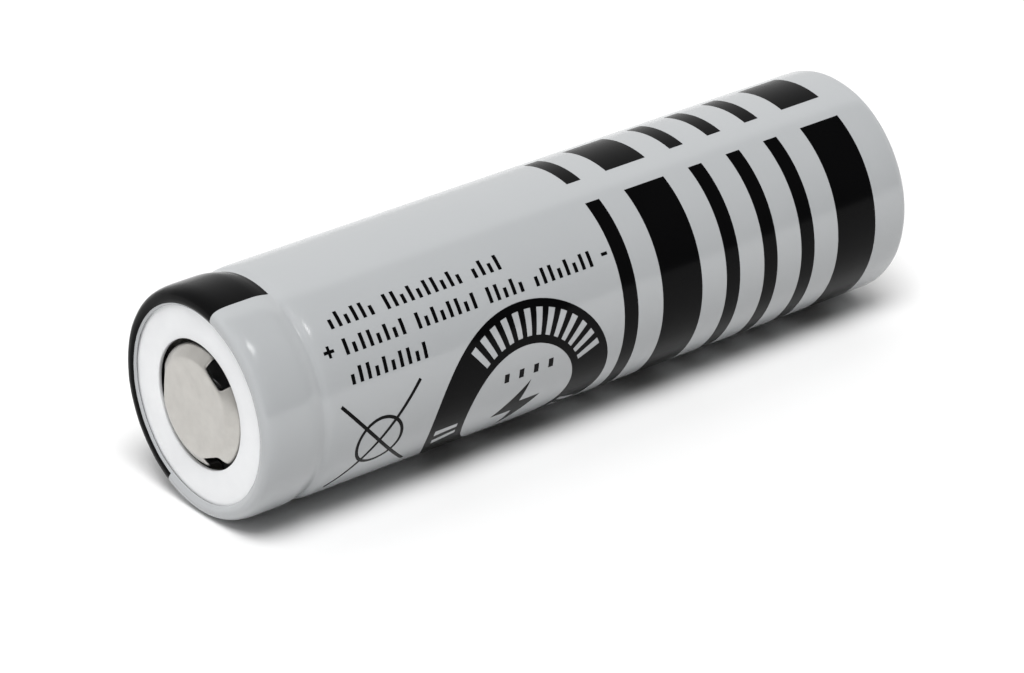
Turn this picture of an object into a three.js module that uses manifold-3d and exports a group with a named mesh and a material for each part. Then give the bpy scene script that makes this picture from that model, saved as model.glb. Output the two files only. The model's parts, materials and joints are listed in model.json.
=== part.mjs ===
// Cylindrical lithium-ion cell of the 14500 size: a crimped steel can with a wound electrode
// roll inside, a vented positive cap, a white insulating washer and a printed shrink sleeve.
// Millimetres. The axis lies along X, positive cap at -X, front of the label at -Y, +Z up.
// The origin is the middle of the overall length, on the axis.
import * as THREE from "three";
import { mergeVertices } from "three/addons/utils/BufferGeometryUtils.js";
import Module from "manifold-3d";

const wasm = await Module();
wasm.setup();

// ---- driving dimensions -------------------------------------------------------------------
const LENGTH = 49.2; // cap top to the outside of the negative end
const SLEEVE_R = 7.05;
const FILM = 0.13; // thickness of the shrink film
const FIT = 0.02; // clearance between pieces that touch
const CAN_R = SLEEVE_R - FILM - FIT;
const CAN_WALL = 0.25;
const BASE_THICK = 0.3;
const BORE_R = CAN_R - CAN_WALL;
const FACETS = 40; // flats round every turned piece, so that coaxial walls stay parallel
const CAP_TOP_R = 3.05;
const CAP_NECK_R = 3.78;
const WASHER_HOLE_R = 3.97;
const STACK_R = 6.15; // rim of the discs that are clamped in the gasket
const BEAD_R = 6.12; // bottom of the can's bead groove
const GROOVE_R = 6.85; // the film bridges the bead and dips only this far
const ROLL_IN_R = 0.98;
const ROLL_TURNS = 7;
const ROLL_PITCH = 0.74;
const ROLL_STEPS = 22; // straight steps per turn of the winding
const TAB_WIDTH = 3;
const TAB_THICK = 0.12;

// Stations along the axis, each measured from the top of the cap.
const WASHER_TOP = 0.4;
const WASHER_THICK = 0.25;
const CRIMP_TOP = 0.67;
const FLANGE_TOP = 1.25;
const DISC = 0.25; // thickness of the cap flange and of the other clamped discs
const PTC_TOP = FLANGE_TOP + DISC + FIT;
const VENT_TOP = PTC_TOP + DISC + FIT;
const RING_TOP = VENT_TOP + DISC + FIT;
const RING_THICK = 0.3;
const CID_TOP = RING_TOP + RING_THICK + FIT;
const STACK_END = CID_TOP + DISC + FIT;
const BEAD_MID = 3.95;
const TOP_DISC = 5.1;
const ROLL_TOP = 5.45;
const ROLL_END = 47.6;
const CAN_END = LENGTH - FILM - FIT;
const BASE_IN = CAN_END - BASE_THICK;
const PAD_RISE = 0.05; // the bare contact pad stands this far out of the can's base
const PAD_R = 5.2;
const LIP_R = 5.5; // inner edge of the film's fold over the base

// ---- helpers ------------------------------------------------------------------------------
const root = new THREE.Group();
root.name = "cylindrical_cell";

function solid(geometry) {
  geometry.deleteAttribute("normal");
  geometry.deleteAttribute("uv");
  const merged = mergeVertices(geometry, 1e-5);
  const triangles = [];
  const index = merged.index.array;
  for (let i = 0; i < index.length; i += 3) {
    const [a, b, c] = [index[i], index[i + 1], index[i + 2]];
    if (a !== b && b !== c && c !== a) triangles.push(a, b, c);
  }
  const mesh = new wasm.Mesh({
    numProp: 3,
    vertProperties: new Float32Array(merged.attributes.position.array),
    triVerts: new Uint32Array(triangles),
  });
  return new wasm.Manifold(mesh);
}

// Turns an outline of [station, radius] pairs about the axis. Stations run from the cap. An
// outline that starts on the axis also ends there; any other one is closed onto its start.
// One flat is centred on the ground, so every turned piece has its flats in line.
function turned(outline, facets = FACETS) {
  const points = outline.map(([station, radius]) => new THREE.Vector2(radius, station));
  if (outline[0][1] > 0) points.push(points[0].clone());
  const turn = (line) => {
    const geometry = new THREE.LatheGeometry(line, facets, Math.PI / facets);
    geometry.rotateZ(-Math.PI / 2);
    geometry.translate(-LENGTH / 2, 0, 0);
    return solid(geometry);
  };
  const body = turn(points);
  return body.volume() > 0 ? body : turn(points.reverse());
}

// A plain ring between two radii; an inner radius of 0 gives a disc.
function ring(station, thick, innerR, outerR, facets = FACETS) {
  return turned([[station, innerR], [station, outerR],
    [station + thick, outerR], [station + thick, innerR]], facets);
}

// A box whose middle is given as station, y and z.
function block(station, length, y, width, z, height) {
  const geometry = new THREE.BoxGeometry(length, width, height);
  geometry.translate(station - LENGTH / 2, y, z);
  return solid(geometry);
}

// A round hole through a disc, along the axis.
function drill(station, length, y, z, radius, facets = 12) {
  const geometry = new THREE.CylinderGeometry(radius, radius, length, facets);
  geometry.rotateZ(Math.PI / 2);
  geometry.translate(station - LENGTH / 2, y, z);
  return solid(geometry);
}

// Turns a shape drawn in the station/y plane into a strip that runs across Z.
function strip(points, width) {
  const shape = new THREE.Shape(points.map(([station, y]) =>
    new THREE.Vector2(station - LENGTH / 2, y)));
  const geometry = new THREE.ExtrudeGeometry(shape, { depth: width, bevelEnabled: false });
  geometry.translate(0, 0, -width / 2);
  return solid(geometry);
}

// One layer of the winding: a sheet of the given thickness that starts offset from the core.
function wound(offset, thick, from, to, turnsIn, turnsOut) {
  const inner = [];
  const outer = [];
  const first = Math.round(turnsIn * ROLL_STEPS);
  const last = Math.round(turnsOut * ROLL_STEPS);
  for (let step = first; step <= last; step += 1) {
    const turn = step / ROLL_STEPS;
    const angle = turn * 2 * Math.PI;
    const radius = ROLL_IN_R + ROLL_PITCH * turn + offset;
    const way = new THREE.Vector2(Math.cos(angle), Math.sin(angle));
    inner.push(way.clone().multiplyScalar(radius));
    outer.push(way.clone().multiplyScalar(radius + thick));
  }
  const shape = new THREE.Shape([...outer, ...inner.reverse()]);
  const geometry = new THREE.ExtrudeGeometry(shape, { depth: to - from, bevelEnabled: false });
  geometry.rotateY(Math.PI / 2);
  geometry.translate(from - LENGTH / 2, 0, 0);
  return solid(geometry);
}

function add(name, body, color, roughness = 0.5, metalness = 0) {
  const mesh = body.getMesh();
  const geometry = new THREE.BufferGeometry();
  geometry.setAttribute("position", new THREE.Float32BufferAttribute(mesh.vertProperties, 3));
  geometry.setIndex([...mesh.triVerts]);
  geometry.computeVertexNormals();
  const material = new THREE.MeshStandardMaterial({ color, roughness, metalness });
  const node = new THREE.Mesh(geometry, material);
  node.name = name;
  root.add(node);
}

// ---- outer pieces -------------------------------------------------------------------------
// Shrink sleeve: folds over both ends, bridges the bead groove and dips into it a little.
const crown = [[0.27, 6.0], [0.18, 6.15], [0.12, 6.45], [0.17, 6.7], [0.38, 6.9],
  [0.65, 7.01], [0.9, SLEEVE_R]];
const dip = [[2.9, SLEEVE_R], [3.65, 6.95], [4.0, GROOVE_R + 0.01], [4.2, GROOVE_R],
  [4.45, 6.94], [4.9, SLEEVE_R]];
const heel = [[LENGTH - 0.7, SLEEVE_R], [LENGTH - 0.32, 6.94], [LENGTH - 0.09, 6.7],
  [LENGTH, 6.35], [LENGTH, LIP_R]];
const heelInside = [[LENGTH - FILM, LIP_R], [LENGTH - FILM, 6.33], [LENGTH - 0.2, 6.61],
  [LENGTH - 0.42, 6.84], [LENGTH - 0.7, SLEEVE_R - FILM]];
const dipInside = dip.map(([station, radius]) => [station, radius - FILM]).reverse();
const crownInside = [[0.9, SLEEVE_R - FILM], [0.68, 6.88], [0.47, 6.78], [0.31, 6.62],
  [0.25, 6.45], [0.31, 6.2], [0.39, 6.0]];
add("shrink_sleeve",
  turned([...crown, ...dip, ...heel, ...heelInside, ...dipInside, ...crownInside]),
  0xb9bdc0, 0.35);

// White washer that insulates the crimped edge of the can from the cap.
add("top_insulator_washer", ring(WASHER_TOP, WASHER_THICK, WASHER_HOLE_R, 6.5), 0xe9ebec, 0.7);

// Steel can: rounded base with a coined contact pad, bead groove and crimped edge. The outline
// runs from the axis along the inside to the crimp, and back along the outside.
const canInside = [[BASE_IN, 0], [BASE_IN, 6.3], [BASE_IN - 0.35, BORE_R], [4.95, BORE_R],
  [4.6, 6.43], [4.25, 6.0], [BEAD_MID, BEAD_R - CAN_WALL], [3.62, 6.0], [3.25, 6.45],
  [2.9, BORE_R], [1.15, BORE_R], [CRIMP_TOP + CAN_WALL, 6.38], [CRIMP_TOP + CAN_WALL, 5.3]];
const canOutside = [[CRIMP_TOP, 5.3], [CRIMP_TOP, 6.35], [0.74, 6.62], [0.9, 6.82],
  [1.1, CAN_R], [2.9, CAN_R], [3.3, 6.72], [3.7, 6.25], [BEAD_MID, BEAD_R], [4.2, 6.25],
  [4.6, 6.7], [4.95, CAN_R], [CAN_END - 0.55, CAN_R], [CAN_END - 0.2, 6.72], [CAN_END, 6.33],
  [CAN_END, PAD_R + 0.15], [CAN_END + PAD_RISE, PAD_R], [CAN_END + PAD_RISE, 0]];
add("steel_can", turned([...canInside, ...canOutside]), 0xc4c7ca, 0.3, 1);

// ---- closure under the crimp --------------------------------------------------------------
// Positive cap: raised contact disc with a sloping side, three vent windows and a flange.
let cap = turned([[0, 0], [0, CAP_TOP_R], [0.1, 3.25], [0.42, 3.68], [0.6, CAP_NECK_R],
  [FLANGE_TOP, CAP_NECK_R], [FLANGE_TOP, STACK_R], [FLANGE_TOP + DISC, STACK_R],
  [FLANGE_TOP + DISC, 3.53], [0.68, 3.52], [0.5, 3.38], [0.3, 2.92], [0.3, 0]]);
const WINDOW_DEPTH = 1.1;
const WINDOW_REACH = 1.2;
const WINDOW_WIDTH = 2;
for (const middle of [10, 130, 250]) {
  const window = new THREE.BoxGeometry(WINDOW_DEPTH, WINDOW_REACH, WINDOW_WIDTH);
  window.translate(WINDOW_DEPTH / 2, CAP_TOP_R - 0.07 + WINDOW_REACH / 2, 0);
  window.rotateX(THREE.MathUtils.degToRad(middle));
  window.translate(-LENGTH / 2 - 0.05, 0, 0);
  cap = cap.subtract(solid(window));
}
add("positive_cap", cap, 0xc9c4ba, 0.3, 1);

// Resettable fuse ring that limits the current when it gets hot.
add("ptc_ring", ring(PTC_TOP, DISC, 1.3, STACK_R), 0x3a3a3c, 0.6);

// Burst disc: scored ring on its upper face, dimple welded to the plate below.
const dimple = CID_TOP - FIT;
add("vent_disc", turned([[VENT_TOP, 0], [VENT_TOP, 0.7], [VENT_TOP + 0.02, 2.9],
  [VENT_TOP + 0.14, 2.98], [VENT_TOP + 0.14, 3.12], [VENT_TOP + 0.02, 3.2],
  [VENT_TOP, 3.6], [VENT_TOP, STACK_R], [VENT_TOP + DISC, STACK_R], [VENT_TOP + DISC, 1.6],
  [dimple, 1.1], [dimple, 0]]), 0xb8bcc0, 0.35, 1);

add("cid_insulator_ring", ring(RING_TOP, RING_THICK, 4.6, STACK_R), 0x242528, 0.6);

// Lower plate of the current interrupter, with six gas holes.
let cid = ring(CID_TOP, DISC, 0, STACK_R);
for (let i = 0; i < 6; i += 1) {
  const angle = (i / 6) * 2 * Math.PI;
  cid = cid.subtract(drill(CID_TOP + DISC / 2, 1, 3.4 * Math.cos(angle),
    3.4 * Math.sin(angle), 0.6));
}
add("cid_plate", cid, 0xb0b4b8, 0.35, 1);

// Gasket: a channel that wraps the rims of the clamped discs inside the can.
const SEAL_R = BORE_R - FIT;
add("crimp_gasket", turned([[0.96, 4.5], [0.96, 6.3], [1.18, SEAL_R], [2.9, SEAL_R],
  [2.96, 6.5], [2.96, 5.3], [STACK_END, 5.3], [STACK_END, STACK_R + FIT],
  [FLANGE_TOP - FIT, STACK_R + FIT], [FLANGE_TOP - FIT, 4.5]]), 0x1d1e20, 0.6);

// ---- electrode roll -----------------------------------------------------------------------
const SEPARATOR = 0.11;
const CATHODE = 0.25;
const ANODE = 0.2;
const LAYER_GAP = 0.0175;
const cathodeAt = SEPARATOR + LAYER_GAP;
const secondAt = cathodeAt + CATHODE + LAYER_GAP;
const anodeAt = secondAt + SEPARATOR + LAYER_GAP;
add("separator_inner", wound(0, SEPARATOR, ROLL_TOP, ROLL_END, 0, ROLL_TURNS), 0xf2f2ee, 0.8);
add("cathode_sheet", wound(cathodeAt, CATHODE, ROLL_TOP + 0.8, ROLL_END - 0.8, 0.5,
  ROLL_TURNS - 0.75), 0x3b3f45, 0.7);
add("separator_outer", wound(secondAt, SEPARATOR, ROLL_TOP, ROLL_END, 0, ROLL_TURNS - 0.25),
  0xeeeeea, 0.8);
add("anode_sheet", wound(anodeAt, ANODE, ROLL_TOP + 0.4, ROLL_END - 0.4, 0.25,
  ROLL_TURNS - 0.5), 0x6b4a35, 0.7);

// Tape that holds the loose end of the outermost separator down.
add("closing_tape", wound(SEPARATOR + LAYER_GAP, 0.06, 9.5, 43.5, ROLL_TURNS - 0.22,
  ROLL_TURNS + 0.2), 0x4d9a6a, 0.5);

// Slit steel tube that keeps the gas channel open through the middle of the roll.
add("centre_pin", turned([[6.4, 0.55], [6.4, 0.85], [46.6, 0.85], [46.6, 0.55]], 16)
  .subtract(block(26.5, 42, 0.7, 1.2, 0, 0.2)), 0xc0c2c4, 0.35, 1);

// ---- insulators and tabs at the ends of the roll ------------------------------------------
const TAB_Y = 3.3;
add("top_roll_insulator", ring(TOP_DISC, 0.25, 1.2, 6.55)
  .subtract(block(TOP_DISC, 1, TAB_Y, 0.6, 0, TAB_WIDTH + 0.4)), 0xe4e0d2, 0.7);

// Positive tab: up from the roll, across under the bead and folded back to the plate.
const tabTop = STACK_END + 0.3;
const tabFold = 4.1;
add("positive_tab", strip([[ROLL_TOP - 0.03, TAB_Y], [tabFold, TAB_Y], [tabFold, -TAB_Y],
  [STACK_END, -TAB_Y], [STACK_END, 1.6], [STACK_END + TAB_THICK, 1.6],
  [STACK_END + TAB_THICK, -TAB_Y + TAB_THICK], [tabFold - TAB_THICK, -TAB_Y + TAB_THICK],
  [tabFold - TAB_THICK, TAB_Y + TAB_THICK], [ROLL_TOP - 0.03, TAB_Y + TAB_THICK]],
TAB_WIDTH), 0xcfd2d5, 0.3, 1);
add("positive_tab_tape", block(tabFold + 0.06, 0.08, 0, 4.6, 0, TAB_WIDTH + 1), 0xd9a441, 0.5);

const BOTTOM_DISC = 47.75;
add("bottom_roll_insulator", ring(BOTTOM_DISC, 0.25, 1.2, 6.2)
  .subtract(block(BOTTOM_DISC, 1, TAB_Y + 1, 0.6, 0, TAB_WIDTH + 0.4)), 0xe4e0d2, 0.7);

// Negative tab: down from the roll and across the middle of the base, where it is welded.
const weldAt = BASE_IN - FIT;
const rootY = TAB_Y + 1;
add("negative_tab", strip([[ROLL_END + 0.03, rootY], [weldAt, rootY], [weldAt, -2],
  [weldAt - TAB_THICK, -2], [weldAt - TAB_THICK, rootY - TAB_THICK],
  [ROLL_END + 0.03, rootY - TAB_THICK]], TAB_WIDTH), 0xb98a5a, 0.35, 1);
add("negative_tab_tape", block(weldAt - TAB_THICK - 0.06, 0.08, 2.4, 2.6, 0, TAB_WIDTH + 1),
  0xd9a441, 0.5);

export default root;
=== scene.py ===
"""The looks of a 14500-size lithium-ion cell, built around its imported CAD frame.

The axis lies along X with the positive cap at -X, the front of the label faces -Y and +Z is up.
Blender works in metres. Lengths here are in millimetres until a mesh is made: a "station" is a
distance from the top of the cap along the axis, and "down" is a distance round the sleeve from
its top line, growing down the front of the label.
"""
import json
import math

import bpy
from mathutils import Euler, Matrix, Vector, noise
from mathutils.geometry import delaunay_2d_cdt


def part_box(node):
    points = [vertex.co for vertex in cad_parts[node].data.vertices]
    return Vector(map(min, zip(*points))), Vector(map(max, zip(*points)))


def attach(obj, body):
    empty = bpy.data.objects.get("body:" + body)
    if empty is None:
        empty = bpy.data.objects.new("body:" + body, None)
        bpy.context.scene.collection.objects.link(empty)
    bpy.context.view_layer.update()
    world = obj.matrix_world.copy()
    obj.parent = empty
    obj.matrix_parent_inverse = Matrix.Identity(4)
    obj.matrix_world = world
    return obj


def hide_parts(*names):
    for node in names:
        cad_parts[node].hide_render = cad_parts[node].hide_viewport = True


MM = 0.001

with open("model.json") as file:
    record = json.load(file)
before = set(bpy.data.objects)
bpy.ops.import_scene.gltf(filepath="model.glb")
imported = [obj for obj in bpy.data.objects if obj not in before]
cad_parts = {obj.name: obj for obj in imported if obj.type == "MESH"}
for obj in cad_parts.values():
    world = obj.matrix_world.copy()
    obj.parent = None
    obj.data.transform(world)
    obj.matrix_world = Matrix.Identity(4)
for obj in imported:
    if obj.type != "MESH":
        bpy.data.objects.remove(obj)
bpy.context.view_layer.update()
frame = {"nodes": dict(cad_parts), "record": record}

# ---- sizes taken from the frame --------------------------------------------------------------
CAD_FACETS = 40  # the CAD sleeve is a prism with this many flats, one of them on the ground
cap_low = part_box("positive_cap")[0]
sleeve_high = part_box("shrink_sleeve")[1]
pad_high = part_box("steel_can")[1]
CAP_TOP = cap_low.x / MM
END = (sleeve_high.x - cap_low.x) / MM
PAD_END = (pad_high.x - cap_low.x) / MM
SLEEVE_R = sleeve_high.z / MM / math.cos(math.pi / CAD_FACETS)

# ---- sizes of the visible pieces -------------------------------------------------------------
FILM = 0.13
FILM_SLACK = 0.01  # the film is drawn this much thinner, which keeps its inner face off the can
FIT = 0.02
CAN_R = SLEEVE_R - FILM - FIT
BORE_R = CAN_R - 0.25
WASHER_TOP = 0.4
WASHER_THICK = 0.25
WASHER_HOLE_R = 3.97
WASHER_R = 6.5
LIP_R = 6.0  # edge of the film over the washer
PRINT_LIP_R = 6.15  # the print stops just short of the film's edge
BACK_LIP_R = 5.5  # edge of the film over the base
CROWN_RIPPLE = 1.6  # how far from the cap's top the film is rippled
HEEL_RIPPLE = 1.4  # the same from the other end
HEEL_LENGTH = 0.75  # the film turns in over the base along this length
INK_LIFT = 0.006  # the ink stands this far off the film
INK_STEP = 0.3  # the print is cut into steps this long round the sleeve


# ---- mesh helpers ----------------------------------------------------------------------------
def new_piece(name, verts, faces, material, smooth=True):
    mesh = bpy.data.meshes.new(name)
    mesh.from_pydata(verts, [], faces)
    mesh.validate()
    mesh.materials.append(material)
    piece = bpy.data.objects.new(name, mesh)
    bpy.context.scene.collection.objects.link(piece)
    for face in mesh.polygons:
        face.use_smooth = smooth
    return piece


def smooth_line(points, steps):
    """A Catmull-Rom line through the points, with the given number of steps between them."""
    line = []
    for i in range(len(points) - 1):
        before = Vector(points[max(i - 1, 0)])
        start = Vector(points[i])
        stop = Vector(points[i + 1])
        after = Vector(points[min(i + 2, len(points) - 1)])
        for step in range(steps):
            t = step / steps
            line.append(0.5 * (2 * start + (stop - before) * t
                               + (2 * before - 5 * start + 4 * stop - after) * t ** 2
                               + (3 * start - before - 3 * stop + after) * t ** 3))
    line.append(Vector(points[-1]))
    return [(p.x, p.y) for p in line]


def place(station, radius, angle):
    """The point at that station, radius and angle, in metres. Angle 0 faces +Y, 90 degrees up."""
    return Vector((CAP_TOP + station, radius * math.cos(angle), radius * math.sin(angle))) * MM


def turned(name, outline, material, segments=192, closed=True, shift=None):
    """Turns an outline of (station, radius) about the axis. A radius of 0 makes a single point."""
    verts = []
    rings = []
    for station, radius in outline:
        if radius < 1e-6:
            rings.append([len(verts)] * segments)
            verts.append(place(station, 0, 0))
            continue
        rings.append(list(range(len(verts), len(verts) + segments)))
        for k in range(segments):
            angle = 2 * math.pi * k / segments
            off_s, off_r = shift(station, radius, angle) if shift else (0, 0)
            verts.append(place(station + off_s, radius + off_r, angle))
    faces = []
    last = len(rings) if closed else len(rings) - 1
    for i in range(last):
        here = rings[i]
        there = rings[(i + 1) % len(rings)]
        if here[0] == here[1] and there[0] == there[1]:
            continue
        for k in range(segments):
            n = (k + 1) % segments
            corners = [here[k], here[n], there[n], there[k]]
            faces.append(list(dict.fromkeys(corners)))
    return new_piece(name, verts, faces, material)


def hand_over(piece, slot, *nodes):
    """Puts the piece on the cell's one body, in place of the CAD nodes it shows."""
    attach(piece, "root")
    if nodes:
        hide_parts(*nodes)


# ---- material helpers ------------------------------------------------------------------------
def principled(name, color, roughness, metallic=0.0):
    material = bpy.data.materials.new(name)
    material.use_nodes = True
    shader = material.node_tree.nodes["Principled BSDF"]
    shader.inputs["Base Color"].default_value = (*color, 1)
    shader.inputs["Roughness"].default_value = roughness
    shader.inputs["Metallic"].default_value = metallic
    return material, shader


def object_noise(tree, scale, detail=3.0, roughness=0.5, stretch=(1, 1, 1)):
    """Noise fixed to the object. Scale is in waves per metre."""
    place_node = tree.nodes.new("ShaderNodeTexCoord")
    stretch_node = tree.nodes.new("ShaderNodeMapping")
    stretch_node.inputs["Scale"].default_value = stretch
    noise_node = tree.nodes.new("ShaderNodeTexNoise")
    noise_node.inputs["Scale"].default_value = scale
    noise_node.inputs["Detail"].default_value = detail
    noise_node.inputs["Roughness"].default_value = roughness
    tree.links.new(place_node.outputs["Object"], stretch_node.inputs["Vector"])
    tree.links.new(stretch_node.outputs["Vector"], noise_node.inputs["Vector"])
    return noise_node.outputs["Fac"]


def spread(tree, value, low, high, from_low=0.3, from_high=0.7):
    """Maps a noise value onto a range."""
    node = tree.nodes.new("ShaderNodeMapRange")
    node.inputs["From Min"].default_value = from_low
    node.inputs["From Max"].default_value = from_high
    node.inputs["To Min"].default_value = low
    node.inputs["To Max"].default_value = high
    tree.links.new(value, node.inputs["Value"])
    return node.outputs["Result"]


def two_tone(tree, value, dark, light):
    node = tree.nodes.new("ShaderNodeMix")
    node.data_type = "RGBA"
    node.inputs["A"].default_value = (*dark, 1)
    node.inputs["B"].default_value = (*light, 1)
    tree.links.new(value, node.inputs["Factor"])
    return node.outputs["Result"]


def bump(tree, heights, shader):
    """Adds bumps one after another. Each is (value, distance in millimetres, strength)."""
    normal = None
    for value, distance, strength in heights:
        node = tree.nodes.new("ShaderNodeBump")
        node.inputs["Distance"].default_value = distance * MM
        node.inputs["Strength"].default_value = strength
        tree.links.new(value, node.inputs["Height"])
        if normal:
            tree.links.new(normal, node.inputs["Normal"])
        normal = node.outputs["Normal"]
    tree.links.new(normal, shader.inputs["Normal"])


def textured(name, dark, light, rough, scale, metallic=0.0, depth=0.004, stretch=(1, 1, 1)):
    """A material whose colour, roughness and height all vary a little with one noise."""
    material, shader = principled(name, light, rough[0], metallic)
    tree = material.node_tree
    grain = object_noise(tree, scale, 5.0, 0.6, stretch)
    tree.links.new(two_tone(tree, spread(tree, grain, 0, 1), dark, light),
                   shader.inputs["Base Color"])
    tree.links.new(spread(tree, grain, *rough), shader.inputs["Roughness"])
    bump(tree, [(grain, depth, 0.5)], shader)
    return material


# ---- materials -------------------------------------------------------------------------------
def film_surface(name, dark, light, rough, level):
    """A glossy face with slow ripples from shrinking and a very fine grain."""
    material, shader = principled(name, light, rough[0])
    shader.inputs["Specular IOR Level"].default_value = level
    tree = material.node_tree
    cloud = object_noise(tree, 120, 2.0)
    ripple = object_noise(tree, 300, 1.5, 0.4, (1.5, 0.8, 0.8))
    grain = object_noise(tree, 7000, 2.0)
    tree.links.new(two_tone(tree, spread(tree, cloud, 0, 1, 0.1, 0.9), dark, light),
                   shader.inputs["Base Color"])
    tree.links.new(spread(tree, cloud, *rough, 0.1, 0.9), shader.inputs["Roughness"])
    bump(tree, [(ripple, 0.06, 0.3), (grain, 0.0008, 0.4)], shader)
    return material


def film_material():
    return film_surface("film_grey", (0.354, 0.365, 0.374), (0.374, 0.384, 0.392),
                        (0.15, 0.2), 0.75)


def ink_material():
    return film_surface("print_black", (0.0015, 0.0015, 0.0016), (0.003, 0.003, 0.0032),
                        (0.13, 0.17), 0.06)


def washer_material():
    material, shader = principled("washer_white", (0.755, 0.762, 0.771), 0.7)
    tree = material.node_tree
    fibre = object_noise(tree, 5200, 4.0, 0.65)
    cloud = object_noise(tree, 500, 2.0)
    tree.links.new(two_tone(tree, spread(tree, cloud, 0, 1), (0.735, 0.742, 0.752),
                            (0.775, 0.782, 0.79)), shader.inputs["Base Color"])
    tree.links.new(spread(tree, fibre, 0.62, 0.8), shader.inputs["Roughness"])
    bump(tree, [(fibre, 0.004, 0.5), (cloud, 0.02, 0.3)], shader)
    return material


def nickel_material(name, dark, light, rough):
    material, shader = principled(name, light, rough[0], 1.0)
    tree = material.node_tree
    cloud = object_noise(tree, 900, 4.0, 0.6)
    grain = object_noise(tree, 9000, 3.0, 0.6)
    tree.links.new(two_tone(tree, spread(tree, cloud, 0, 1), dark, light),
                   shader.inputs["Base Color"])
    tree.links.new(spread(tree, cloud, *rough), shader.inputs["Roughness"])
    bump(tree, [(grain, 0.002, 0.5), (cloud, 0.012, 0.3)], shader)
    return material


INNER_LOOKS = {
    "ptc_polymer": dict(dark=(0.03, 0.03, 0.033), light=(0.06, 0.06, 0.065), rough=(0.5, 0.7),
                        scale=1500),
    "aluminium_sheet": dict(dark=(0.66, 0.67, 0.68), light=(0.78, 0.79, 0.8), rough=(0.3, 0.45),
                            scale=2500, metallic=1.0, stretch=(1, 0.1, 1)),
    # The gasket is drawn near black. This is partly its own dark plastic and partly painted shade,
    # so the cavity seen through the cap's windows reads dark.
    "gasket_plastic": dict(dark=(0.010, 0.010, 0.011), light=(0.018, 0.018, 0.020),
                           rough=(0.5, 0.65), scale=900),
    "separator_film": dict(dark=(0.82, 0.82, 0.8), light=(0.89, 0.89, 0.87), rough=(0.6, 0.75),
                           scale=3000),
    "cathode_coating": dict(dark=(0.035, 0.036, 0.04), light=(0.065, 0.067, 0.073),
                            rough=(0.7, 0.9), scale=4000),
    "anode_coating": dict(dark=(0.07, 0.064, 0.06), light=(0.12, 0.105, 0.098),
                          rough=(0.6, 0.85), scale=4000),
    "green_tape": dict(dark=(0.06, 0.29, 0.13), light=(0.09, 0.38, 0.18), rough=(0.25, 0.4),
                       scale=700),
    "amber_tape": dict(dark=(0.5, 0.25, 0.035), light=(0.66, 0.37, 0.06), rough=(0.2, 0.35),
                       scale=700),
    "roll_insulator": dict(dark=(0.72, 0.69, 0.6), light=(0.82, 0.79, 0.7), rough=(0.6, 0.8),
                           scale=1800),
    "nickel_strip": dict(dark=(0.55, 0.53, 0.49), light=(0.66, 0.64, 0.6), rough=(0.3, 0.45),
                         scale=2500, metallic=1.0, stretch=(1, 0.1, 1)),
    "nickel_plated_steel": dict(dark=(0.58, 0.57, 0.55), light=(0.68, 0.67, 0.65),
                                rough=(0.28, 0.4), scale=2500, metallic=1.0),
}


def dress_inner_nodes(replaced):
    """Gives each CAD node that stays in place the procedural material of its slot."""
    looks = {slot: textured("inner_" + slot, **look) for slot, look in INNER_LOOKS.items()}
    for entry in frame["record"]["subparts"]:
        if entry["node"] in replaced:
            continue
        node = frame["nodes"][entry["node"]]
        for material_slot in node.material_slots:
            material_slot.material = looks[entry["material_slot"]]


# ---- shrink sleeve ---------------------------------------------------------------------------
def film_outside():
    """The sleeve's outer face from its lip over the washer to its lip over the base."""
    crown = smooth_line([(0.27, LIP_R), (0.20, 6.12), (0.13, 6.30), (0.12, 6.46), (0.17, 6.68),
                         (0.34, 6.87), (0.62, 6.98), (1.0, 7.035), (1.5, SLEEVE_R)], 5)
    rim = [(2.0, SLEEVE_R), (2.5, SLEEVE_R)]
    dip = smooth_line([(2.9, SLEEVE_R), (3.25, 7.03), (3.65, 6.965), (4.0, 6.88), (4.22, 6.85),
                       (4.42, 6.91), (4.64, 7.0), (4.95, 7.04), (5.4, SLEEVE_R)], 5)
    wall_steps = 40
    wall_from = dip[-1][0]
    wall_to = END - HEEL_LENGTH
    wall = [(wall_from + (wall_to - wall_from) * i / wall_steps, SLEEVE_R)
            for i in range(1, wall_steps)]
    heel = smooth_line([(wall_to, SLEEVE_R), (END - 0.42, 6.99), (END - 0.16, 6.8),
                        (END - 0.03, 6.5), (END, 6.2), (END, 5.85), (END - 0.03, BACK_LIP_R)], 5)
    return crown + rim + dip + wall + heel


def film_inside(outside):
    """The inner face, a film's thickness less the slack in, from the base lip to the washer lip."""
    inside = []
    for i in range(len(outside) - 1, -1, -1):
        before = Vector(outside[max(i - 1, 0)])
        after = Vector(outside[min(i + 1, len(outside) - 1)])
        along = (after - before).normalized()
        inward = Vector((along.y, -along.x))
        point = Vector(outside[i]) + inward * (FILM - FILM_SLACK)
        inside.append((point.x, point.y))
    return inside


def shrink_ripple(station, angle):
    """How far the shrunk film stands out of its ideal face near its two gathered ends."""
    near_crown = max(0.0, 1 - station / CROWN_RIPPLE)
    near_heel = max(0.0, 1 - (END - station) / HEEL_RIPPLE)
    share = max(near_crown, near_heel)
    if share == 0:
        return 0.0
    side = 0.0 if near_crown > 0 else 9.0
    around = Vector((math.cos(angle), math.sin(angle), 0))
    wide = noise.noise(around * 3.0 + Vector((0, 0, side)))
    fine = noise.noise(around * 11.0 + Vector((0, 0, side + 4)))
    return share * (0.024 * wide + 0.014 * fine)


def film_shift(station, radius, angle):
    """The film's ripple, and the slightly wavy line of its cut edges."""
    ripple = shrink_ripple(station, angle)
    around = Vector((math.cos(angle), math.sin(angle), station / END * 5))
    edge = max(0.0, 1 - abs(radius - LIP_R) / 0.2) if station < 1 else 0.0
    back_edge = max(0.0, 1 - abs(radius - BACK_LIP_R) / 0.3) if station > END - 1 else 0.0
    wave = noise.noise(around * 1.7) * 0.05 + noise.noise(around * 6.0) * 0.018
    return (-0.4 * ripple if station < 1 else 0.0,
            0.6 * ripple + (edge + back_edge) * wave)


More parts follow.
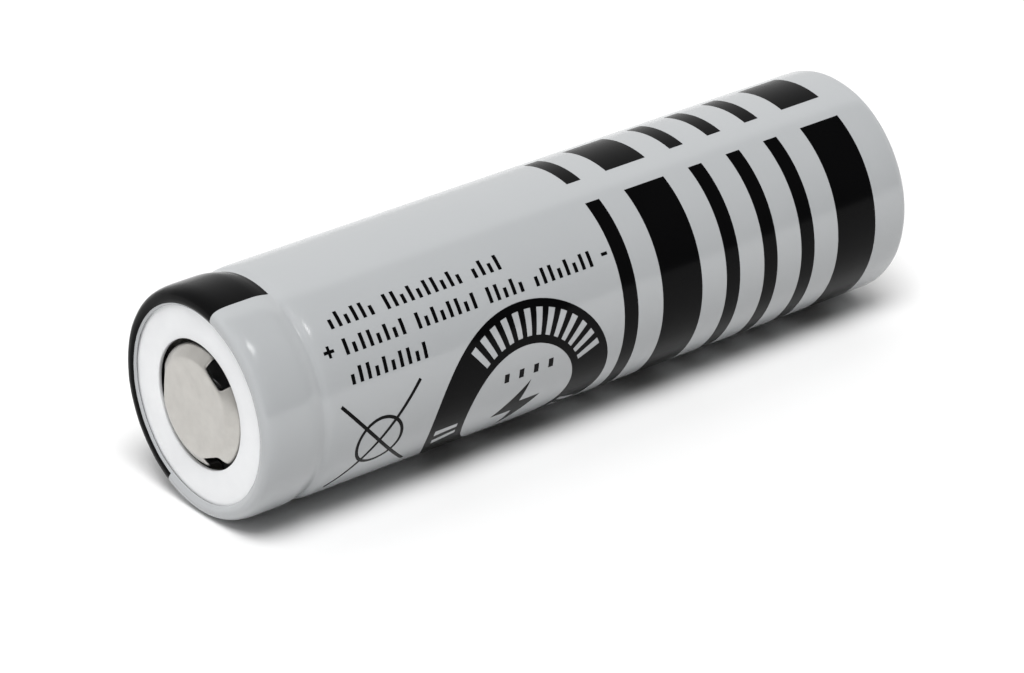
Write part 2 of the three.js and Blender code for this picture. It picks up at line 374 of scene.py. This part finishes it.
outside_line = film_outside()


def at_station(station):
    """The place along the outer line, as a fractional index, where the wall is at a station."""
    crest = min(range(len(outside_line) // 2), key=lambda i: outside_line[i][0])
    for i in range(crest, len(outside_line) - 1):
        here, there = outside_line[i][0], outside_line[i + 1][0]
        if here <= station <= there:
            return i + (station - here) / (there - here)
    return len(outside_line) - 1.0


def at_lip(radius):
    """The same for a radius on the part that lies over the washer."""
    for i in range(len(outside_line) - 1):
        here, there = outside_line[i][1], outside_line[i + 1][1]
        if here <= radius <= there:
            return i + (radius - here) / (there - here)
    return 0.0


def on_film(index, angle, lift=INK_LIFT):
    """A point just off the film, at a place along the outer line and an angle."""
    i = min(int(index), len(outside_line) - 2)
    here = Vector(outside_line[i])
    there = Vector(outside_line[i + 1])
    point = here.lerp(there, index - i)
    along = (there - here).normalized()
    point += Vector((-along.y, along.x)) * lift
    off_s, off_r = film_shift(point.x, point.y, angle)
    return place(point.x + off_s, point.y + off_r, angle)


def make_sleeve(material):
    outline = outside_line + film_inside(outside_line)
    sleeve = turned("sleeve_film", outline, material, 256, True, film_shift)
    hand_over(sleeve, "sleeve_film", "shrink_sleeve")


# ---- print -----------------------------------------------------------------------------------
# The label is laid out flat, as (station, down). A polygon is a list of such points.
def down(degrees):
    """How far down the front an angle lies, from the top line."""
    return math.radians(degrees - 90) * SLEEVE_R


def rectangle(s0, s1, d0, d1):
    return [(s0, d0), (s1, d0), (s1, d1), (s0, d1)]


def stroke(start, stop, width):
    """A straight stroke with square ends."""
    start = Vector(start)
    stop = Vector(stop)
    along = (stop - start).normalized()
    side = Vector((-along.y, along.x)) * width / 2
    return [tuple(p) for p in (start + side, stop + side, stop - side, start - side)]


def sector(middle, inner, outer, start, stop, steps=4):
    """A piece of a ring between two angles in degrees."""
    points = []
    for radius, order in ((outer, range(steps + 1)), (inner, range(steps, -1, -1))):
        for i in order:
            turn = math.radians(start + (stop - start) * i / steps)
            points.append((middle[0] + radius * math.cos(turn),
                           middle[1] + radius * math.sin(turn)))
    return points


def whole_ring(middle, inner, outer, parts):
    return [sector(middle, inner, outer, 360 * i / parts, 360 * (i + 1) / parts)
            for i in range(parts)]


def left_handed(polygon):
    """The polygon with its points in the order that the triangulation takes as filled."""
    area = sum(a[0] * b[1] - a[1] * b[0] for a, b in zip(polygon, polygon[1:] + polygon[:1]))
    return polygon if area > 0 else polygon[::-1]


def printed(name, polygons, material, holes=()):
    """Lays flat polygons onto the sleeve as thin ink. Holes leave the film bare."""
    verts = []
    faces = []
    for polygon in list(polygons) + list(holes):
        faces.append(list(range(len(verts), len(verts) + len(polygon))))
        verts.extend(Vector(p) for p in left_handed(polygon))
    low_s = min(v.x for v in verts) - 1
    high_s = max(v.x for v in verts) + 1
    low_d = min(v.y for v in verts)
    high_d = max(v.y for v in verts)
    edges = []
    steps = math.ceil((high_d - low_d) / INK_STEP)
    for i in range(1, steps):
        level = low_d + (high_d - low_d) * i / steps
        edges.append((len(verts), len(verts) + 1))
        verts.extend([Vector((low_s, level)), Vector((high_s, level))])
    flat, _, cells, _, _, sources = delaunay_2d_cdt(verts, edges, faces, 0, 1e-5)
    kept = [cell for cell, source in zip(cells, sources)
            if source and max(source) < len(polygons)]
    used = sorted({v for cell in kept for v in cell})
    number = {v: i for i, v in enumerate(used)}
    points = [on_film(at_station(flat[v].x), math.pi / 2 + flat[v].y / SLEEVE_R) for v in used]
    piece = new_piece(name, points, [[number[v] for v in cell] for cell in kept], material)
    hand_over(piece, "sleeve_print")


BAND_FROM = -63.7  # angles in degrees
BAND_TO = 105.5
BAND_END = 4.15  # station
BAND_STEPS = 118


def make_band(material):
    """The dark patch that folds over the rim on the far side of the cell."""
    from_angle = math.radians(BAND_FROM)
    to_angle = math.radians(BAND_TO)
    start = at_lip(PRINT_LIP_R)
    stop = at_station(BAND_END)
    columns = [start] + list(range(math.ceil(start + 1e-6), math.ceil(stop))) + [stop]
    verts = []
    faces = []
    for i in range(BAND_STEPS + 1):
        angle = from_angle + (to_angle - from_angle) * i / BAND_STEPS
        verts.extend(on_film(column, angle) for column in columns)
    for i in range(BAND_STEPS):
        for k in range(len(columns) - 1):
            a = i * len(columns) + k
            faces.append([a, a + 1, a + 1 + len(columns), a + len(columns)])
    hand_over(new_piece("print_band", verts, faces, material), "sleeve_print")


BAR_UNIT = 1.0
# Each bar's station and width: thin ones are one unit wide and thick ones three.
BARS = ((26.3, 1), (29.3, 3), (34.3, 1), (37.3, 1), (40.3, 1), (43.3, 3))
BAR_SPREAD = 0.07  # the ink spreads a little past the drawn edge
LONG_BARS = (118, 283)  # angles in degrees
SHORT_BARS = (70, 103.3)


def bars_between(top, foot):
    return [rectangle(s, s + w * BAR_UNIT + BAR_SPREAD, down(top), down(foot)) for s, w in BARS]


def make_bars(material):
    printed("print_bars_front", bars_between(*LONG_BARS), material)
    printed("print_bars_back", bars_between(*SHORT_BARS), material)


LINE_HEIGHT = 0.97
TICK = 0.25
TICK_PITCH = 0.58
SHORT_TICK = 0.62  # as a share of the line's height
# Rows of ticks: station, angle of the top of the row, and how many ticks each group has.
TICK_ROWS = ((6.2, 127.5, (6, 10, 4)), (6.5, 141.1, (8, 8, 5, 8)), (6.35, 155.2, (10,)))


def make_tick_rows(material):
    """Rows of plain ticks of uneven height, where a label carries its small print."""
    ticks = []
    for station, top, groups in TICK_ROWS:
        at = station
        count = 0
        for group in groups:
            for _ in range(group):
                short = (count * 7 + group) % 5 < 2
                rise = LINE_HEIGHT * (SHORT_TICK if short else 1.0)
                foot = down(top) + LINE_HEIGHT
                ticks.append(rectangle(at, at + TICK, foot - rise, foot))
                at += TICK_PITCH
                count += 1
            at += TICK_PITCH
    printed("print_ticks", ticks, material)


SIGN_LINE = 145  # angle of both polarity signs, in degrees. The values below are stations.
PLUS_AT = 5.42
MINUS_FROM = 25.5
MINUS_TO = 25.95


def make_polarity_marks(material):
    middle = down(SIGN_LINE)
    arm = 0.36
    half = 0.1
    plus = [rectangle(PLUS_AT - arm, PLUS_AT + arm, middle - half, middle + half),
            rectangle(PLUS_AT - half, PLUS_AT + half, middle - arm, middle + arm)]
    minus = [rectangle(MINUS_FROM, MINUS_TO, middle - half, middle + half)]
    printed("print_plus", plus, material)
    printed("print_minus", minus, material)


TARGET_AT = 8.2  # station of its middle
TARGET_ANGLE = 197.5
TARGET_R = 1.72
TARGET_LINE = 0.22


def make_target(material):
    """A printer's target: a thin ring with two lines crossing in it."""
    s = TARGET_AT
    d = down(TARGET_ANGLE)
    ring = whole_ring((s, d), TARGET_R - TARGET_LINE, TARGET_R, 16)
    along = 2.85
    across = 3.2
    cross = [stroke((s - along, d - across), (s + along, d + across), TARGET_LINE),
             stroke((s - along, d + across), (s + along, d - across), TARGET_LINE)]
    printed("print_target", ring + cross, material)


SEAL_AT = 18.75  # station of its middle
SEAL_ANGLE = 206.4
SEAL_INNER = 3.95
SEAL_OUTER = 6.6
DASH_PITCH = 8.6  # in degrees round the seal
DASH_HALF = 2.2
DASH_MARGIN = 0.5  # ink left between a dash and each edge of the ring
# Each run of dashes: the turn round the seal of its first one, and how many there are.
DASHES = ((232, 13), (168, 2), (27, 2), (90, 3))
DOT_PITCH = 1.1
BOLT_BELOW = 0.55  # the bolt's middle lies this far below the ring's


def make_seal(material):
    """A round mark: a dark ring with bare dashes as on a dial, and a bolt beside four dots."""
    s = SEAL_AT
    d = down(SEAL_ANGLE)
    ring = whole_ring((s, d), SEAL_INNER, SEAL_OUTER, 24)
    dashes = []
    for first, count in DASHES:
        for i in range(count):
            turn = first + DASH_PITCH * i
            dashes.append(sector((s, d), SEAL_INNER + DASH_MARGIN, SEAL_OUTER - DASH_MARGIN,
                                 turn - DASH_HALF, turn + DASH_HALF, 2))
    dots = [rectangle(s - 1.5 + DOT_PITCH * i, s - 1.15 + DOT_PITCH * i, d - 2.5, d - 1.9)
            for i in range(4)]
    d += BOLT_BELOW
    bolt = [[(s + 0.6, d - 2.0), (s - 1.7, d + 0.4), (s + 0.2, d + 0.4), (s + 0.05, d - 0.1)],
            [(s - 0.6, d + 2.0), (s + 1.7, d - 0.4), (s - 0.2, d - 0.4), (s - 0.05, d + 0.1)]]
    printed("print_seal", ring + dots + bolt, material, dashes)


# ---- positive end ----------------------------------------------------------------------------
def make_washer(material):
    face = WASHER_TOP
    back = WASHER_TOP + WASHER_THICK
    line = [(face + 0.05, WASHER_HOLE_R), (face + 0.015, WASHER_HOLE_R + 0.015),
            (face, WASHER_HOLE_R + 0.06), (face, 4.6), (face, 5.3), (face, 6.0),
            (face, WASHER_R - 0.06), (face + 0.03, WASHER_R), (back, WASHER_R),
            (back, WASHER_HOLE_R + 0.03), (back - 0.03, WASHER_HOLE_R)]

    def shift(station, radius, angle):
        around = Vector((math.cos(angle) * radius, math.sin(angle) * radius, 2))
        return (0.012 * noise.noise(around * 0.35), 0.012 * noise.noise(around * 0.8))

    washer = turned("washer_disc", line, material, 160, True, shift)
    hand_over(washer, "white_insulator", "top_insulator_washer")


CAP_SEGMENTS = 60
WINDOW_SEGMENTS = 5
FIRST_WINDOW = 5  # angle of the first window's middle, in degrees
WINDOW_ROWS = range(6, 15)
WINDOW_EDGE = {4: 0.3, 5: 0.7, 6: 1.0}  # how far each row of the skin follows a straight edge
CAP_SKIN = 0.24
CAP_SHIFT = Vector((0, -0.06, -0.06)) * MM  # the cap sits a hair off the washer's middle


def make_cap(material):
    """The pressed cap: a skin with three windows, given thickness and then smoothed."""
    line = [(0.03, 0), (0.027, 0.9), (0.018, 1.8), (0.008, 2.5), (0.0, 2.85), (0.02, 3.02),
            (0.09, 3.16), (0.22, 3.38), (0.36, 3.58), (0.5, 3.72), (0.66, 3.78), (0.95, 3.79),
            (1.12, 3.8), (1.25, 3.95), (1.25, 4.4), (1.25, 5.4), (1.25, 6.08)]
    step = 2 * math.pi / CAP_SEGMENTS
    start = math.radians(FIRST_WINDOW) - step * WINDOW_SEGMENTS / 2
    verts = [place(line[0][0], 0, 0)]
    for row, (station, radius) in enumerate(line[1:], 1):
        for k in range(CAP_SEGMENTS):
            across = k % (CAP_SEGMENTS // 3) - WINDOW_SEGMENTS / 2
            straight = math.cos(step * WINDOW_SEGMENTS / 2) / math.cos(step * across)
            share = WINDOW_EDGE.get(row, 0) if abs(across) <= WINDOW_SEGMENTS / 2 else 0
            reach = radius * (1 + share * (straight - 1))
            verts.append(place(station, reach, start + step * k))
    faces = []
    for k in range(CAP_SEGMENTS):
        n = (k + 1) % CAP_SEGMENTS
        faces.append([0, 1 + n, 1 + k])
        in_window = k % (CAP_SEGMENTS // 3) < WINDOW_SEGMENTS
        for row in range(1, len(line) - 1):
            if in_window and row in WINDOW_ROWS:
                continue
            a = 1 + (row - 1) * CAP_SEGMENTS
            b = a + CAP_SEGMENTS
            faces.append([a + k, a + n, b + n, b + k])
    cap = new_piece("cap_shell", [v + CAP_SHIFT for v in verts], faces, material)
    thick = cap.modifiers.new("thickness", "SOLIDIFY")
    thick.thickness = CAP_SKIN * MM
    thick.offset = -1
    smooth = cap.modifiers.new("smooth", "SUBSURF")
    smooth.levels = 2
    smooth.render_levels = 2
    hand_over(cap, "cap_nickel", "positive_cap")


# ---- can -------------------------------------------------------------------------------------
PAD_RISE = 0.05  # the contact pad stands this far out of the base


def make_can(material):
    base = PAD_END - PAD_RISE
    floor_in = base - 0.3
    inside = smooth_line([(floor_in, 6.0), (base - 0.38, 6.4), (base - 0.7, BORE_R)], 4)
    bead_in = smooth_line([(4.95, BORE_R), (4.6, 6.43), (4.25, 6.0), (3.95, 5.87), (3.62, 6.0),
                           (3.25, 6.45), (2.9, BORE_R)], 4)
    crimp_in = smooth_line([(1.3, BORE_R), (0.98, 6.5), (0.92, 6.2), (0.92, 5.3)], 4)
    crimp_out = smooth_line([(0.67, 5.3), (0.67, 6.3), (0.75, 6.63), (0.92, 6.82),
                             (1.2, CAN_R)], 4)
    bead_out = smooth_line([(2.9, CAN_R), (3.3, 6.72), (3.7, 6.25), (3.95, 6.12), (4.2, 6.25),
                            (4.6, 6.7), (4.95, CAN_R)], 4)
    heel = smooth_line([(base - 0.6, CAN_R), (base - 0.22, 6.74), (base - 0.03, 6.42),
                        (base, 6.1)], 4)
    pad = smooth_line([(base, 5.42), (base + 0.012, 5.34), (base + 0.038, 5.24),
                       (base + PAD_RISE, 5.16)], 4)
    dimple = smooth_line([(base + PAD_RISE, 1.05), (base + 0.045, 0.95), (base + 0.02, 0.82),
                          (base + 0.012, 0.6)], 4)
    rings = [(base + PAD_RISE, r) for r in (4.6, 3.8, 2.9, 2.0, 1.3)]
    outline = ([(floor_in, 0)] + inside + bead_in + crimp_in + crimp_out + bead_out + heel
               + pad + rings + dimple + [(base + 0.012, 0)])
    can = turned("can_shell", outline, material, 192, False)
    hand_over(can, "nickel_plated_steel", "steel_can")


# ---- studio ----------------------------------------------------------------------------------
FLOOR_HALF = 3.0  # in metres
FLOOR_GAP = 0.01
DARK_SIDE = 0.02  # how bright the rest of the studio is
# Each bright wall: the direction's axis, where it begins and is full, and how bright it is.
WALLS = (("X", -0.3, -0.6, 0.6),
         ("X", 0.75, 0.9, 0.7),
         ("Y", 0.12, 0.2, 0.8),
         ("Y", 0.75, 0.95, 1.0))


def make_floor():
    level = -(SLEEVE_R + FLOOR_GAP) * MM
    material, shader = principled("floor_white", (0.76, 0.76, 0.76), 0.6)
    tree = material.node_tree
    cloud = object_noise(tree, 30, 2.0)
    tree.links.new(two_tone(tree, cloud, (0.755, 0.755, 0.755), (0.765, 0.765, 0.765)),
                   shader.inputs["Base Color"])
    shader.inputs["Specular IOR Level"].default_value = 0.2
    corners = [(x * FLOOR_HALF, y * FLOOR_HALF, level)
               for x, y in ((-1, -1), (1, -1), (1, 1), (-1, 1))]
    floor = new_piece("studio_floor", corners, [[0, 1, 2, 3]], material, False)


def area_light(name, direction, distance, size, power, glossy):
    """A square light that looks at the cell. Distance and size are in metres.

    A light that isn't glossy lights the scene but shows in no reflection.
    """
    data = bpy.data.lights.new(name, "AREA")
    data.size = size
    data.energy = power
    lamp = bpy.data.objects.new(name, data)
    toward = Vector(direction).normalized()
    lamp.location = toward * distance
    lamp.rotation_euler = toward.to_track_quat("Z", "Y").to_euler()
    lamp.visible_glossy = glossy
    bpy.context.scene.collection.objects.link(lamp)


def make_world():
    """A studio with one dark side: bright behind the cell, and softer beyond each end of it."""
    world = bpy.data.worlds.new("studio")
    bpy.context.scene.world = world
    world.use_nodes = True
    tree = world.node_tree
    background = tree.nodes["Background"]
    where = tree.nodes.new("ShaderNodeTexCoord")
    split = tree.nodes.new("ShaderNodeSeparateXYZ")
    tree.links.new(where.outputs["Generated"], split.inputs["Vector"])
    total = None
    for axis, start, stop, glow in WALLS:
        ramp = tree.nodes.new("ShaderNodeMapRange")
        ramp.interpolation_type = "SMOOTHSTEP"
        ramp.inputs["From Min"].default_value = start
        ramp.inputs["From Max"].default_value = stop
        ramp.inputs["To Min"].default_value = DARK_SIDE
        ramp.inputs["To Max"].default_value = glow
        tree.links.new(split.outputs[axis], ramp.inputs["Value"])
        if total is None:
            total = ramp.outputs["Result"]
            continue
        brighter = tree.nodes.new("ShaderNodeMath")
        brighter.operation = "MAXIMUM"
        tree.links.new(total, brighter.inputs[0])
        tree.links.new(ramp.outputs["Result"], brighter.inputs[1])
        total = brighter.outputs["Value"]
    tree.links.new(total, background.inputs["Strength"])
    background.inputs["Color"].default_value = (1, 1, 1, 1)


CAMERA_PLACE = (-174.63, -213.99, 136.32)
CAMERA_AZIMUTH = -39.03  # in degrees, as the next
CAMERA_ELEVATION = 26.82


def make_camera():
    azimuth = math.radians(CAMERA_AZIMUTH)
    elevation = math.radians(CAMERA_ELEVATION)
    data = bpy.data.cameras.new("camera")
    data.sensor_width = 36
    data.lens = 181
    data.clip_start = 0.01
    data.clip_end = 20
    camera = bpy.data.objects.new("camera", data)
    camera.location = Vector(CAMERA_PLACE) * MM
    camera.rotation_euler = Euler((math.pi / 2 - elevation, 0, azimuth))
    bpy.context.scene.collection.objects.link(camera)
    bpy.context.scene.camera = camera


make_camera()
make_floor()
make_world()
area_light("key", (-0.24, -0.31, 0.92), distance=2.4, size=1.2, power=68.0, glossy=False)
area_light("spark", (0.27, -0.42, 0.87), distance=0.8, size=0.15, power=0.45, glossy=True)
bpy.context.scene.view_settings.view_transform = "Standard"

ink = ink_material()
make_sleeve(film_material())
make_band(ink)
make_bars(ink)
make_tick_rows(ink)
make_polarity_marks(ink)
make_target(ink)
make_seal(ink)
make_washer(washer_material())
make_cap(nickel_material("cap_metal", (0.47, 0.455, 0.43), (0.55, 0.535, 0.505), (0.28, 0.38)))
make_can(nickel_material("can_metal", (0.60, 0.59, 0.57), (0.70, 0.69, 0.67), (0.24, 0.36)))
dress_inner_nodes({"shrink_sleeve", "top_insulator_washer", "positive_cap", "steel_can"})
